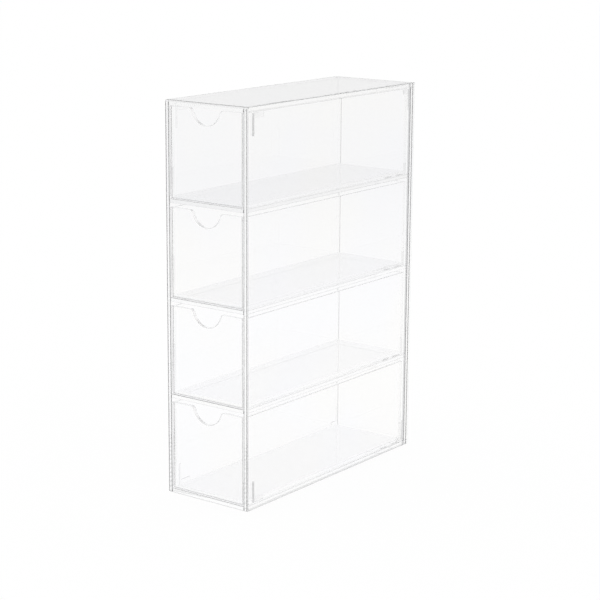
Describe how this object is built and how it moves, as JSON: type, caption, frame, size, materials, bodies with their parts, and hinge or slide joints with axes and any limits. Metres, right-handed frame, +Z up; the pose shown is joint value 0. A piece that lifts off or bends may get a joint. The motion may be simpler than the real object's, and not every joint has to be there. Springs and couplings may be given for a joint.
{
  "type": "eyeglass organizer",
  "caption": "Clear acrylic eyeglass organizer: a tall narrow case of flat bonded panels with a column of pull-out drawers, each with a round finger notch.",
  "frame": {"origin": "centre of the underside, on the surface that the case stands on", "axes": "+X to the right seen from the front, +Y to the back, +Z up; the drawers pull out along -Y"},
  "size_m": [0.0632, 0.175, 0.246],
  "materials": {
    "case_acrylic": "clear polished cast acrylic sheet",
    "drawer_acrylic": "clear polished cast acrylic sheet"
  },
  "bodies": {
    "case": {"left_side_panel": "case_acrylic", "right_side_panel": "case_acrylic", "top_panel": "case_acrylic", "bottom_panel": "case_acrylic", "back_panel": "case_acrylic", "shelf_1": "case_acrylic", "shelf_2": "case_acrylic", "shelf_3": "case_acrylic"},
    "drawer_1": {"drawer_1_front": "drawer_acrylic", "drawer_1_left_side": "drawer_acrylic", "drawer_1_right_side": "drawer_acrylic", "drawer_1_back": "drawer_acrylic", "drawer_1_floor": "drawer_acrylic"},
    "drawer_2": {"drawer_2_front": "drawer_acrylic", "drawer_2_left_side": "drawer_acrylic", "drawer_2_right_side": "drawer_acrylic", "drawer_2_back": "drawer_acrylic", "drawer_2_floor": "drawer_acrylic"},
    "drawer_3": {"drawer_3_front": "drawer_acrylic", "drawer_3_left_side": "drawer_acrylic", "drawer_3_right_side": "drawer_acrylic", "drawer_3_back": "drawer_acrylic", "drawer_3_floor": "drawer_acrylic"},
    "drawer_4": {"drawer_4_front": "drawer_acrylic", "drawer_4_left_side": "drawer_acrylic", "drawer_4_right_side": "drawer_acrylic", "drawer_4_back": "drawer_acrylic", "drawer_4_floor": "drawer_acrylic"}
  },
  "joints": [
    {"name": "drawer_1_slide", "type": "slide", "parent": "case", "child": "drawer_1", "axis": [0, -1, 0], "range_m": [0, 0.13]},
    {"name": "drawer_2_slide", "type": "slide", "parent": "case", "child": "drawer_2", "axis": [0, -1, 0], "range_m": [0, 0.13]},
    {"name": "drawer_3_slide", "type": "slide", "parent": "case", "child": "drawer_3", "axis": [0, -1, 0], "range_m": [0, 0.13]},
    {"name": "drawer_4_slide", "type": "slide", "parent": "case", "child": "drawer_4", "axis": [0, -1, 0], "range_m": [0, 0.13]}
  ]
}
